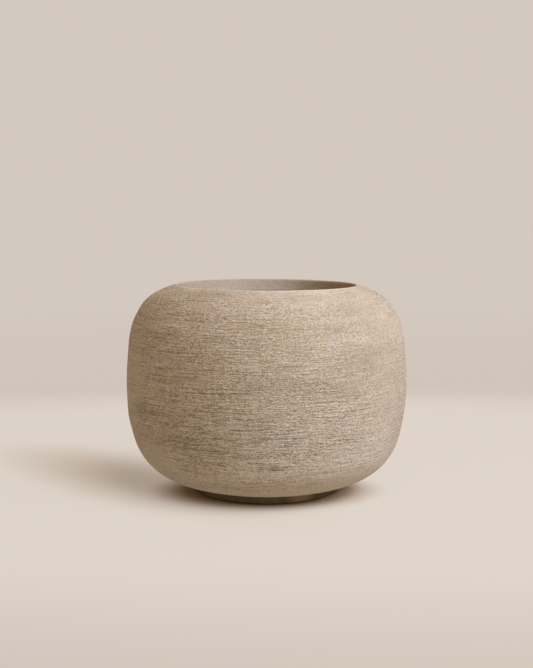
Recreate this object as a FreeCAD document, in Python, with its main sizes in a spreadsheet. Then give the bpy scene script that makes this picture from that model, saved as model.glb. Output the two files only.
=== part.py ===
"""A stone planter: a rounded vessel on a set-back foot ring, with a pull-out drain plug and floor pads."""

import FreeCAD, Part

import math
import os

import Sketcher
from FreeCAD import Vector

# Every size that can be set by itself, in millimetres, in degrees where its name ends in deg, or as a plain
# number where it ends in share.
SIZES = {
    # The vessel's outside, from the foot up to the mouth
    "body_diameter": 460.0,
    "belly_height": 178.0,
    "mouth_diameter": 292.0,
    "mouth_height": 339.4,
    "mouth_slope_deg": 11.7,
    "underside_slope_deg": 9.5,
    "belly_lift": 12.7,
    # How far the wall's arcs turn, and how many times as wide the end arcs are as the corner ones
    "upper_side_turn_deg": 12.4,
    "top_turn_deg": 16.8,
    "top_to_shoulder_share": 1.7,
    "lower_side_turn_deg": 14.4,
    "underside_turn_deg": 10.4,
    "underside_to_haunch_share": 2.07,
    # The vessel's inside
    "wall": 22.0,
    "floor_thickness": 21.0,
    "floor_fall_deg": 2.0,
    "mouth_edge": 1.6,
    "throat_edge": 4.0,
    # The foot ring, the rebate that takes it and the mortar between them
    "foot_diameter": 240.0,
    "foot_width": 26.0,
    "foot_edge": 1.0,
    "rebate_depth": 8.0,
    "rebate_gap": 0.3,
    "bond_thickness": 1.2,
    "bond_margin": 3.0,
    # The drain hole and its plug
    "drain_diameter": 25.0,
    "drain_edge": 1.5,
    "seat_depth": 2.5,
    "seat_gap": 1.0,
    "flange_diameter": 44.0,
    "flange_thickness": 4.0,
    "flange_edge": 1.0,
    "stem_length": 16.0,
    "stem_gap": 0.3,
    "stem_taper_deg": 3.0,
    "tab_width": 18.0,
    "tab_height": 13.0,
    "tab_thickness": 5.0,
    "tab_edge": 1.0,
    # The floor pads
    "pad_diameter": 20.0,
    "pad_thickness": 2.6,
    "pad_stand": 1.6,
    "pad_gap": 0.3,
    "pad_edge": 0.4,
    # How far a cut runs past the face that it starts from
    "overrun": 5.0,
}

# The wall's halves, each of three arcs from the belly to one end of the wall: the names of its side, corner
# and end arc, how far the end lies in from the belly and above or below it, and the slope there
UPPER_HALF = (
    "upper_side",
    "shoulder",
    "top",
    "(body_diameter - mouth_diameter) / 2",
    "mouth_height - belly_height",
    "mouth_slope_deg",
)
LOWER_HALF = (
    "lower_side",
    "haunch",
    "underside",
    "(body_diameter - foot_diameter) / 2",
    "belly_height - belly_lift",
    "underside_slope_deg",
)

PAD_COUNT = 4
FIRST_PAD_DEG = 45.0
RIGHT_ANGLE_DEG = 90.0
FULL_TURN_DEG = 360.0

# Two circles count as one when their radii agree to this share
SAME_RADIUS_SHARE = 1e-6

# How a sketch numbers its own axes, downwards, and the start, end and centre of a line or an arc
ACROSS_AXIS = -1
UP_AXIS = ACROSS_AXIS - 1
START, END, CENTRE = range(1, 4)

doc = FreeCAD.newDocument("Planter")


def radius_formulas(side, corner, end, reach, rise, slope):
    """The formulas for the radii with which a half's arcs, turning as set, just reach the end of the wall."""
    share = f"{end}_to_{corner}_share"
    first = f"{side}_turn_deg * 1 deg"
    second = f"({RIGHT_ANGLE_DEG} - {slope} - {end}_turn_deg) * 1 deg"
    last = f"({RIGHT_ANGLE_DEG} - {slope}) * 1 deg"
    return {
        # How far in and along the wall the side arc goes for each unit of its radius, then the other two
        f"{side}_in": f"=1 - cos({first})",
        f"{side}_along": f"=sin({first})",
        f"{corner}_in": f"=cos({first}) - cos({second}) + {share} * (cos({second}) - cos({last}))",
        f"{corner}_along": f"=sin({second}) - sin({first}) + {share} * (sin({last}) - sin({second}))",
        f"{side}_factor": f"={side}_in * {corner}_along - {side}_along * {corner}_in",
        f"{side}_radius": f"=(({reach}) * {corner}_along - ({rise}) * {corner}_in) / {side}_factor",
        f"{corner}_radius": f"=(({rise}) * {side}_in - ({reach}) * {side}_along) / {side}_factor",
        f"{end}_radius": f"={share} * {corner}_radius",
    }


def fill_sheet():
    """Writes the sizes and the radii that follow from them into the document's spreadsheet."""
    sheet = doc.addObject("Spreadsheet::Sheet", "Sizes")
    cells = {**SIZES, **radius_formulas(*UPPER_HALF), **radius_formulas(*LOWER_HALF)}
    for row, (name, value) in enumerate(cells.items(), start=1):
        sheet.set(f"A{row}", name)
        sheet.set(f"B{row}", str(value))
        sheet.setAlias(f"B{row}", name)
    doc.recompute()


def new_body(label):
    """A body whose label names its file."""
    body = doc.addObject("PartDesign::Body", label)
    body.Label = label
    return body


def new_sketch(body, name, plane):
    """A sketch on one of the body's own planes."""
    sketch = body.newObject("Sketcher::SketchObject", name)
    origin_plane = next(item for item in body.Origin.OriginFeatures if item.Role == plane)
    sketch.AttachmentSupport = (origin_plane, [""])
    sketch.MapMode = "FlatFace"
    return sketch


def value_of(sketch, text):
    """What an expression comes to, as a plain number."""
    return float(sketch.evalExpression(text))


def drive(sketch, kind, *items, text):
    """Adds a dimension and ties it to an expression."""
    value = value_of(sketch, text)
    number = sketch.addConstraint(Sketcher.Constraint(kind, *items, value))
    sketch.setExpression(f"Constraints[{number}]", text)


def hold_point(sketch, item, end, across, up):
    """Ties a point to an expression across and one up, where 0 puts it on the axis itself."""
    for kind, axis, text in (("DistanceX", UP_AXIS, across), ("DistanceY", ACROSS_AXIS, up)):
        if text == "0":
            sketch.addConstraint(Sketcher.Constraint("PointOnObject", item, end, axis))
        else:
            drive(sketch, kind, ACROSS_AXIS, START, item, end, text=text)


def draw_outline(sketch, corners):
    """Draws a closed outline of straight lines through corners, each an expression across and one up."""
    places = [Vector(*(value_of(sketch, text) for text in corner), 0) for corner in corners]
    lines = [Part.LineSegment(here, there) for here, there in zip(places, places[1:] + places[:1])]
    sketch.addGeometry(lines, False)
    for number, corner in enumerate(corners):
        following = (number + 1) % len(corners)
        sketch.addConstraint(Sketcher.Constraint("Coincident", number, END, following, START))
    for number, corner in enumerate(corners):
        hold_point(sketch, number, START, *corner)


def add_arc(sketch, centre, radius, low, high):
    """Adds an arc about a centre, from the low angle to the high one in radians."""
    circle = Part.Circle(Vector(*centre, 0), Vector(0, 0, 1), radius)
    return sketch.addGeometry(Part.ArcOfCircle(circle, low, high), False)


def spin(body, sketch, kind="PartDesign::Revolution"):
    """Turns a sketch a full turn about the body's upright axis, to add or, as a groove, to cut."""
    feature = body.newObject(kind, f"{sketch.Name}Turned")
    feature.Profile = sketch
    feature.ReferenceAxis = (sketch, ["V_Axis"])
    feature.Angle = FULL_TURN_DEG
    sketch.Visibility = False
    doc.recompute()
    return feature


def circles(feature, radius):
    """Names a feature's round edges of one radius, from the lowest up."""
    found = []
    for number, edge in enumerate(feature.Shape.Edges, start=1):
        if isinstance(edge.Curve, Part.Circle):
            if math.isclose(edge.Curve.Radius, radius, rel_tol=SAME_RADIUS_SHARE):
                found.append((edge.Curve.Center.z, f"Edge{number}"))
    return [name for height, name in sorted(found)]


def break_edges(body, feature, edges, size):
    """Breaks sharp edges of a feature with a chamfer, its size taken from the sheet."""
    chamfer = body.newObject("PartDesign::Chamfer", f"{feature.Name}Broken")
    chamfer.Base = (feature, edges)
    chamfer.setExpression("Size", size)
    doc.recompute()
    return chamfer


def half_arcs(sketch, half, way):
    """The centres of a half's arcs, from the belly up with way at 1 or down at -1, and the angles where they end."""
    side, corner, end, reach, rise, slope = half
    last = math.radians(RIGHT_ANGLE_DEG - SIZES[slope])
    second = last - math.radians(SIZES[f"{end}_turn_deg"])
    first = math.radians(SIZES[f"{side}_turn_deg"])
    radii = [value_of(sketch, f"Sizes.{name}_radius") for name in (side, corner, end)]
    centres = [Vector(SIZES["body_diameter"] / 2 - radii[0], SIZES["belly_height"], 0)]
    for turn, before, after in zip((first, second), radii, radii[1:]):
        step = Vector(math.cos(turn), way * math.sin(turn), 0) * (before - after)
        centres.append(centres[-1] + step)
    return centres, [way * first, way * second, way * last]


def draw_side(sketch, centres, names, angles, wall=""):
    """Draws one side of the wall as arcs that run into each other, and returns their numbers."""
    arcs = []
    for centre, name, low, high in zip(centres, names, angles, angles[1:]):
        radius = value_of(sketch, f"Sizes.{name}{wall}")
        arcs.append(add_arc(sketch, (centre.x, centre.y), radius, low, high))
    for below, above in zip(arcs, arcs[1:]):
        sketch.addConstraint(Sketcher.Constraint("Tangent", below, END, above, START))
    for arc, name in zip(arcs, names):
        drive(sketch, "Radius", arc, text=f"Sizes.{name}{wall}")
    return arcs


def draw_vessel_section(sketch):
    """Draws the vessel's wall and floor as one closed section, with the inside following the outside."""
    names = [f"{name}_radius" for name in (*LOWER_HALF[2::-1], *UPPER_HALF[:3])]
    upper_centres, upper_angles = half_arcs(sketch, UPPER_HALF, 1)
    lower_centres, lower_angles = half_arcs(sketch, LOWER_HALF, -1)
    centres = lower_centres[::-1] + upper_centres
    angles = lower_angles[::-1] + [0] + upper_angles

    # Outside: the foot end, the joins that run smoothly, level at the belly, and the mouth end
    outside = draw_side(sketch, centres, names, angles)
    under, _, _, above_belly, _, over = outside
    hold_point(sketch, above_belly, START, "Sizes.body_diameter / 2", "Sizes.belly_height")
    sketch.addConstraint(Sketcher.Constraint("Horizontal", above_belly, CENTRE, above_belly, START))
    hold_point(sketch, over, END, "Sizes.mouth_diameter / 2", "Sizes.mouth_height")
    across_to_mouth = "Sizes.top_radius * sin(Sizes.mouth_slope_deg * 1 deg)"
    drive(sketch, "DistanceX", over, CENTRE, over, END, text=across_to_mouth)
    hold_point(sketch, under, START, "Sizes.foot_diameter / 2", "Sizes.belly_lift")
    across_to_foot = "Sizes.underside_radius * sin(Sizes.underside_slope_deg * 1 deg)"
    drive(sketch, "DistanceX", under, CENTRE, under, START, text=across_to_foot)

    # Inside: the same arcs a wall's thickness in, from the floor up to the throat
    fall = math.radians(SIZES["floor_fall_deg"] - RIGHT_ANGLE_DEG)
    inner_top_radius = value_of(sketch, "Sizes.top_radius - Sizes.wall")
    throat_end = math.acos((SIZES["mouth_diameter"] / 2 - centres[-1].x) / inner_top_radius)
    inside_angles = [fall, *angles[2:-1], throat_end]
    inside = draw_side(sketch, centres[1:], names[1:], inside_angles, wall=" - Sizes.wall")
    inner_haunch, _, inner_above, _, inner_over = inside
    sketch.addConstraint(Sketcher.Constraint("Coincident", inner_above, CENTRE, above_belly, CENTRE))
    sketch.addConstraint(Sketcher.Constraint("Horizontal", inner_above, CENTRE, inner_above, START))
    sketch.addConstraint(Sketcher.Constraint("Coincident", inner_over, CENTRE, over, CENTRE))

    # The flat bottom, the axis, the sloping floor and the throat close the section
    floor_middle = Vector(0, SIZES["belly_lift"] + SIZES["floor_thickness"], 0)
    bottom_middle = Vector(0, SIZES["belly_lift"], 0)
    geometry = sketch.Geometry
    bottom, axis, floor, throat = sketch.addGeometry(
        [
            Part.LineSegment(geometry[under].StartPoint, bottom_middle),
            Part.LineSegment(bottom_middle, floor_middle),
            Part.LineSegment(floor_middle, geometry[inner_haunch].StartPoint),
            Part.LineSegment(geometry[inner_over].EndPoint, geometry[over].EndPoint),
        ],
        False,
    )
    for kind, *items in (
        ("Coincident", under, START, bottom, START),
        ("Horizontal", bottom),
        ("PointOnObject", bottom, END, UP_AXIS),
        ("Coincident", bottom, END, axis, START),
        ("Coincident", axis, END, floor, START),
        ("Tangent", floor, END, inner_haunch, START),
        ("Coincident", inner_over, END, throat, START),
        ("Coincident", throat, END, over, END),
        ("Vertical", throat),
    ):
        sketch.addConstraint(Sketcher.Constraint(kind, *items))
    hold_point(sketch, floor, START, "0", "Sizes.belly_lift + Sizes.floor_thickness")
    drive(sketch, "Angle", ACROSS_AXIS, START, floor, START, text="Sizes.floor_fall_deg * 1 deg")


def make_vessel():
    """The cast vessel: its turned section, the foot's rebate, the drain hole and its broken edges."""
    body = new_body("vessel_shell")
    section = new_sketch(body, "VesselSection", "XZ_Plane")
    draw_vessel_section(section)
    spin(body, section)

    rebate = new_sketch(body, "FootRebate", "XZ_Plane")
    inner = "Sizes.foot_diameter / 2 - Sizes.foot_width - Sizes.rebate_gap"
    outer = "Sizes.foot_diameter / 2 + Sizes.rebate_gap"
    below = "Sizes.belly_lift - Sizes.overrun"
    roof = "Sizes.belly_lift + Sizes.rebate_depth"
    draw_outline(rebate, [(inner, below), (outer, below), (outer, roof), (inner, roof)])
    spin(body, rebate, "PartDesign::Groove")

    drain = new_sketch(body, "DrainHole", "XZ_Plane")
    hole = "Sizes.drain_diameter / 2"
    flared = "Sizes.drain_diameter / 2 + Sizes.drain_edge"
    lip = "Sizes.belly_lift + Sizes.drain_edge"
    recess = "Sizes.flange_diameter / 2 + Sizes.seat_gap"
    seat = "Sizes.belly_lift + Sizes.floor_thickness - Sizes.seat_depth"
    above = "Sizes.belly_lift + Sizes.floor_thickness + Sizes.overrun"
    draw_outline(
        drain,
        [
            ("0", "Sizes.belly_lift"),
            (flared, "Sizes.belly_lift"),
            (hole, lip),
            (hole, seat),
            (recess, seat),
            (recess, above),
            ("0", above),
        ],
    )
    drained = spin(body, drain, "PartDesign::Groove")

    throat, mouth = circles(drained, SIZES["mouth_diameter"] / 2)
    crisp = break_edges(body, drained, [mouth], "Sizes.mouth_edge")
    throat = circles(crisp, SIZES["mouth_diameter"] / 2)[0]
    break_edges(body, crisp, [throat], "Sizes.throat_edge")
    return body


def make_foot_ring():
    """The foot ring, with a shallow round recess under it for each floor pad."""
    body = new_body("foot_ring")
    section = new_sketch(body, "FootSection", "XZ_Plane")
    inner = "Sizes.foot_diameter / 2 - Sizes.foot_width"
    outer = "Sizes.foot_diameter / 2"
    top = "Sizes.belly_lift + Sizes.rebate_depth - Sizes.bond_thickness"
    bottom = "Sizes.pad_stand"
    draw_outline(section, [(inner, bottom), (outer, bottom), (outer, top), (inner, top)])
    ring = spin(body, section)
    outer_edge = circles(ring, SIZES["foot_diameter"] / 2)[0]
    inner_edge = circles(ring, SIZES["foot_diameter"] / 2 - SIZES["foot_width"])[0]
    ring = break_edges(body, ring, [outer_edge, inner_edge], "Sizes.foot_edge")

    recess = new_sketch(body, "PadRecess", "XY_Plane")
    recess.setExpression("AttachmentOffset.Base.z", "Sizes.pad_stand")
    across, along = pad_place(0)
    first = Vector(value_of(recess, across), value_of(recess, along), 0)
    recess.addGeometry(Part.Circle(first, Vector(0, 0, 1), SIZES["pad_diameter"] / 2), False)
    hold_point(recess, 0, CENTRE, across, along)
    drive(recess, "Radius", 0, text="Sizes.pad_diameter / 2 + Sizes.pad_gap")
    pocket = body.newObject("PartDesign::Pocket", "PadRecessCut")
    pocket.Profile = recess
    pocket.Reversed = True
    pocket.setExpression("Length", "Sizes.pad_thickness - Sizes.pad_stand")
    recess.Visibility = False
    doc.recompute()
    ring_of_recesses = body.newObject("PartDesign::PolarPattern", "PadRecesses")
    ring_of_recesses.Originals = [pocket]
    ring_of_recesses.Axis = (recess, ["N_Axis"])
    ring_of_recesses.Angle = FULL_TURN_DEG
    ring_of_recesses.Occurrences = PAD_COUNT
    body.Tip = ring_of_recesses
    doc.recompute()
    return body


def make_foot_bond():
    """The flat bed of mortar between the foot ring's top and the rebate's roof."""
    body = new_body("foot_bond")
    section = new_sketch(body, "BondSection", "XZ_Plane")
    inner = "Sizes.foot_diameter / 2 - Sizes.foot_width + Sizes.bond_margin"
    outer = "Sizes.foot_diameter / 2 - Sizes.bond_margin"
    roof = "Sizes.belly_lift + Sizes.rebate_depth"
    bottom = "Sizes.belly_lift + Sizes.rebate_depth - Sizes.bond_thickness"
    draw_outline(section, [(inner, bottom), (outer, bottom), (outer, roof), (inner, roof)])
    spin(body, section)
    return body


def make_drain_plug():
    """The rubber plug: a flange that rests in the floor's recess, a tapered stem and a pull tab."""
    body = new_body("drain_plug")
    section = new_sketch(body, "PlugSection", "XZ_Plane")
    seat = "Sizes.belly_lift + Sizes.floor_thickness - Sizes.seat_depth"
    top = f"{seat} + Sizes.flange_thickness"
    tip = f"{seat} - Sizes.stem_length"
    flange = "Sizes.flange_diameter / 2"
    stem = "Sizes.drain_diameter / 2 - Sizes.stem_gap"
    stem_tip = f"{stem} - Sizes.stem_length * tan(Sizes.stem_taper_deg * 1 deg)"
    draw_outline(
        section,
        [("0", tip), (stem_tip, tip), (stem, seat), (flange, seat), (flange, top), ("0", top)],
    )
    spin(body, section)

    tab = new_sketch(body, "PullTab", "XZ_Plane")
    draw_tab(tab, top)
    pad = body.newObject("PartDesign::Pad", "PullTabPad")
    pad.Profile = tab
    pad.SideType = "Symmetric"
    pad.setExpression("Length", "Sizes.tab_thickness")
    tab.Visibility = False
    doc.recompute()

    flange_rim = circles(pad, SIZES["flange_diameter"] / 2)[-1:]
    broken = break_edges(body, pad, flange_rim, "Sizes.flange_edge")
    tab_rims = circles(broken, SIZES["tab_width"] / 2)
    break_edges(body, broken, tab_rims, "Sizes.tab_edge")
    return body


def draw_tab(sketch, foot):
    """Draws the pull tab: two upright sides under a half-round top, on the flange."""
    half = value_of(sketch, "Sizes.tab_width / 2")
    low = value_of(sketch, foot)
    shoulder = low + value_of(sketch, "Sizes.tab_height - Sizes.tab_width / 2")
    top = add_arc(sketch, (0, shoulder), half, math.radians(0), math.pi)
    left, base, right = sketch.addGeometry(
        [
            Part.LineSegment(Vector(-half, shoulder, 0), Vector(-half, low, 0)),
            Part.LineSegment(Vector(-half, low, 0), Vector(half, low, 0)),
            Part.LineSegment(Vector(half, low, 0), Vector(half, shoulder, 0)),
        ],
        False,
    )
    for kind, *items in (
        ("Tangent", top, END, left, START),
        ("Coincident", left, END, base, START),
        ("Coincident", base, END, right, START),
        ("Tangent", right, END, top, START),
        ("Vertical", left),
        ("Vertical", right),
        ("Horizontal", base),
        ("PointOnObject", top, CENTRE, UP_AXIS),
    ):
        sketch.addConstraint(Sketcher.Constraint(kind, *items))
    drive(sketch, "Radius", top, text="Sizes.tab_width / 2")
    drive(sketch, "DistanceY", ACROSS_AXIS, START, base, START, text=foot)
    drive(sketch, "DistanceY", base, START, left, START, text="Sizes.tab_height - Sizes.tab_width / 2")


def pad_place(number):
    """A pad's place on the foot ring's middle line, as expressions across and along."""
    middle = "(Sizes.foot_diameter / 2 - Sizes.foot_width / 2)"
    turn = FIRST_PAD_DEG + number * FULL_TURN_DEG / PAD_COUNT
    return f"{middle} * cos({turn} deg)", f"{middle} * sin({turn} deg)"


def make_floor_pad(number):
    """A rubber pad, let into the foot ring and standing a little proud of it."""
    body = new_body(f"floor_pad_{number + 1}")
    outline = new_sketch(body, f"PadOutline{number + 1}", "XY_Plane")
    outline.addGeometry(Part.Circle(Vector(0, 0, 0), Vector(0, 0, 1), SIZES["pad_diameter"] / 2), False)
    outline.addConstraint(Sketcher.Constraint("Coincident", 0, CENTRE, ACROSS_AXIS, START))
    drive(outline, "Radius", 0, text="Sizes.pad_diameter / 2")
    pad = body.newObject("PartDesign::Pad", f"PadDisc{number + 1}")
    pad.Profile = outline
    pad.setExpression("Length", "Sizes.pad_thickness")
    outline.Visibility = False
    doc.recompute()
    lower_edge = circles(pad, SIZES["pad_diameter"] / 2)[:1]
    break_edges(body, pad, lower_edge, "Sizes.pad_edge")
    across, along = pad_place(number)
    body.setExpression("Placement.Base.x", across)
    body.setExpression("Placement.Base.y", along)
    doc.recompute()
    return body


def check_document():
    """Stops if any object of the document has failed."""
    for item in doc.Objects:
        if "Invalid" in item.State or "Error" in item.State:
            raise RuntimeError(f"{item.Label} failed: {item.State}")


def write_parts(bodies):
    """Writes each piece to a file named after it."""
    for body in bodies:
        if body.Shape.isNull() or not body.Shape.isValid():
            raise RuntimeError(f"{body.Label} has no sound shape")
    os.makedirs("parts", exist_ok=True)
    for body in bodies:
        body.Shape.exportStep(os.path.join("parts", f"{body.Label}.step"))
        print(f"{body.Label}: {len(body.Shape.Solids)} solid, {body.Shape.Volume:.0f} cubic mm")


def main():
    """Builds every piece of the planter and writes it out."""
    fill_sheet()
    bodies = [make_vessel(), make_foot_ring(), make_foot_bond(), make_drain_plug()]
    bodies += [make_floor_pad(number) for number in range(PAD_COUNT)]
    doc.recompute()
    check_document()
    write_parts(bodies)


main()
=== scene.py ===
"""A rounded planter of combed stone on a set-back foot, dressed over its frame in a plain studio."""

import math
import random

import bmesh
import bpy
import numpy as np
from mathutils import Matrix, Vector, noise


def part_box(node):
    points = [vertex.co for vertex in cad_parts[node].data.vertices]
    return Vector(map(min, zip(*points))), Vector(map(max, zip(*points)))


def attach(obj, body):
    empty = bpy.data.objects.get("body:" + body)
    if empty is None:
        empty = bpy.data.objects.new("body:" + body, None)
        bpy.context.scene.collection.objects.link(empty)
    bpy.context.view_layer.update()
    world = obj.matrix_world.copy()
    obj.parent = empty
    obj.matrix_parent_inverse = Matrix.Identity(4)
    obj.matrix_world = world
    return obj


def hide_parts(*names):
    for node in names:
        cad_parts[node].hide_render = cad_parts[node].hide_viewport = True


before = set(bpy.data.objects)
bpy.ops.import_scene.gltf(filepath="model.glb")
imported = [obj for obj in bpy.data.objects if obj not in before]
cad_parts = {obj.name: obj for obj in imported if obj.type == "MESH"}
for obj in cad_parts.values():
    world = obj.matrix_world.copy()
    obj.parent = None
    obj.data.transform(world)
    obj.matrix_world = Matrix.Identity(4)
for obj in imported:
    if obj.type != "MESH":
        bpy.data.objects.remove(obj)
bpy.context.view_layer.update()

bl_info = {
    "name": "Combed Stone Planter",
    "version": (1, 0, 0),
    "blender": (4, 5, 0),
    "location": "View3D > Sidebar > Planter",
    "description": "Builds a combed stone planter with its foot, plug and pads, and a studio round it",
    "category": "Add Mesh",
}

MM = 0.001
VESSEL_LOW, VESSEL_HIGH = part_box("vessel_shell")
FOOT_LOW, FOOT_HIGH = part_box("foot_ring")
BOND_LOW, BOND_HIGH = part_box("foot_bond")
PLUG_LOW, PLUG_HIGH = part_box("drain_plug")
PAD_NODES = sorted(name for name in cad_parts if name.startswith("floor_pad"))


# Sizes and colours

# The longest strokes: degrees round, share of the way up, and length and depth in millimetres, with
# the depth less than 0 for a ridge
LONG_STROKES = (
    (-137, 0.757, 70, 0.9),
    (-134, 0.632, 60, 0.8),
    (-146, 0.690, 60, 0.8),
    (-116, 0.838, 110, 0.8),
    (-103, 0.846, 130, 0.6),
    (-97, 0.722, 150, 0.5),
    (-108, 0.640, 90, 0.8),
    (-140, 0.462, 60, 0.9),
    (-118, 0.352, 80, 0.9),
    (-109, 0.398, 70, 0.8),
    (-104, 0.331, 70, 0.8),
    (-62, 0.815, 120, -0.5),
    (-57, 0.702, 70, 0.6),
    (-52, 0.470, 160, 0.5),
    (-66, 0.452, 90, 0.6),
)
# Soft spots of colour: degrees round, share of the way up, half width in degrees, half height as a share of
# the way up, and strength, less than 0 for brown and more for lime bloom; two pale bands are partly painted
# light
SMUDGES_AND_LIGHT = (
    (-144, 0.675, 12, 0.020, -0.4),
    (-136, 0.755, 9, 0.014, -0.7),
    (-128, 0.860, 16, 0.020, -0.5),
    (-131, 0.793, 9, 0.010, 1.0),
    (-118, 0.830, 15, 0.014, -0.6),
    (-141, 0.450, 15, 0.036, -1.0),
    (-124, 0.430, 12, 0.020, -0.6),
    (-157, 0.340, 13, 0.070, -1.8),
    (-140, 0.260, 16, 0.050, -1.4),
    (-133, 0.190, 18, 0.040, -1.5),
    (-133, 0.365, 12, 0.036, -1.9),
    (-143, 0.480, 9, 0.030, -0.8),
    (-118, 0.340, 14, 0.030, -0.6),
    (-102, 0.335, 12, 0.020, -0.3),
    (-110, 0.450, 10, 0.030, 1.1),
    (-40, 0.692, 11, 0.032, -1.0),
    (-50, 0.850, 14, 0.036, -1.5),
    (-46, 0.778, 14, 0.026, -1.1),
    (-67, 0.788, 12, 0.038, -1.1),
    (-71, 0.585, 15, 0.030, -1.8),
    (-92, 0.785, 11, 0.042, -1.5),
    (-96, 0.600, 9, 0.040, -0.8),
    (-63, 0.465, 7, 0.026, 0.7),
    (-57, 0.545, 8, 0.024, -1.0),
    (-66, 0.298, 8, 0.030, -0.8),
    (-117, 0.570, 9, 0.030, -0.6),
    (-119, 0.945, 12, 0.035, -1.7),
    (-114, 0.262, 11, 0.045, -1.1),
    (-82, 0.413, 8, 0.032, 1.4),
    (-28, 0.260, 12, 0.050, 0.8),
    (-52, 0.642, 10, 0.038, -1.4),
    # Partly painted light: a pale band just under the front of the mouth and a wide pale band low on the
    # front, where the wall takes more light
    (-74, 0.985, 42, 0.030, 1.5),
    (-84, 0.280, 52, 0.062, 1.7),
    (-112, 0.165, 46, 0.040, -1.3),
    (-45, 0.360, 16, 0.100, 0.6),
    (-97, 0.730, 20, 0.012, -0.5),
    (-60, 0.700, 16, 0.014, -0.4),
    (-40, 0.600, 20, 0.050, -0.3),
    (-62, 0.815, 16, 0.012, 0.6),
)
# The same for the combing: places worn smooth, combed harder, combed less, and a swell in metres
LEFT_WEAR = ((-178, 0.44, 30, 0.70, 1), (-148, 0.56, 18, 0.12, 0.5), (-148, 0.27, 24, 0.12, 1))
RIGHT_WEAR = ((-30, 0.62, 34, 0.50, 1), (-60, 0.84, 34, 0.16, 1))
HARD_COMBING = ((-125, 0.60, 36, 0.30, 1), (-104, 0.36, 30, 0.10, 1.2))
CALM_COMBING = ((-62, 0.70, 46, 0.19, 1), (-20, 0.42, 34, 0.30, 0.6))
HAUNCH_SWELL = ((-175, 0.40, 40, 0.05, 1.4 * MM),)
# The same on the lip and inside it, where only the turn counts: painted highlight and shade on the lip, and
# painted light and shade on the inside wall
LIP_LIGHT_AND_SHADE = ((-62, 0, 42, 1, 1), (45, 0, 25, 1, 1), (-145, 0, 30, 1, 1), (115, 0, 45, 1, -0.35))
INSIDE_LIGHT_AND_SHADE = ((105, 0, 48, 1, 0.85), (80, 0, 16, 1, 0.38), (40, 0, 13, 1, -0.9))
# Distances along the section over which the relief fades out next to the foot and the mouth
FOOT_FADE, MOUTH_FADE = 6 * MM, 9 * MM
# Distances before and past the end of the combed wall between which the lip takes its painted highlight and
# shade
LIP_BEFORE, LIP_PAST = 1.5 * MM, 3 * MM
# Distances past that end at which the inside's painted light and shade is whole, deepens, is deepest, fades
# and ends
PAINTED_INSIDE_WHOLE, PAINTED_INSIDE_DEEPENS, PAINTED_INSIDE_DEEPEST = 2 * MM, 15 * MM, 20 * MM
PAINTED_INSIDE_FADES, PAINTED_INSIDE_ENDS = 28 * MM, 40 * MM
# The lengths of strokes are measured round a circle of this radius
STROKE_RADIUS = 230 * MM
# Places along the section that are nearer than this are the same
SAME = 1e-7
# Ovals on the foot and the floor: middle, turn in degrees, width for a height of 1, and where the change
# starts and ends; the foot's oval is a painted highlight
FOOT_HIGHLIGHT_OVAL = ((0.054, -0.106, 0.008), 0, 1.2, 0.006, 0.026)
LIT_OVAL = ((0.001, -0.023, 0), 0, 1.40, 0.092, 0.150)
SHADOW_OVAL = ((-0.205, 0.040, 0), 135.0, 2.7, 0.014, 0.185)
STUDIO_OVAL = ((0.096, 0.144, 0), 0, 2.10, 0.548, 1.002)
FAR_OVAL = ((0, 0, 0), 0, 1, 1.3, 4.0)


def length(name, description, default):
    """A length in metres that the sidebar shows in the scene's units."""
    return bpy.props.FloatProperty(
        name=name, description=description, default=default, min=0.0, unit="LENGTH", precision=4
    )


def angle(name, description, degrees):
    """An angle, given here in degrees and kept in radians."""
    return bpy.props.FloatProperty(
        name=name, description=description, default=math.radians(degrees), subtype="ANGLE"
    )


def share(name, description, default):
    """A plain factor."""
    return bpy.props.FloatProperty(name=name, description=description, default=default)


def number(name, description, default):
    """A whole number."""
    return bpy.props.IntProperty(name=name, description=description, default=default, min=0)


def colour(name, description, default):
    """A colour in linear light."""
    return bpy.props.FloatVectorProperty(
        name=name, description=description, default=default, size=3, min=0.0, max=1.0, subtype="COLOR"
    )


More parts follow.
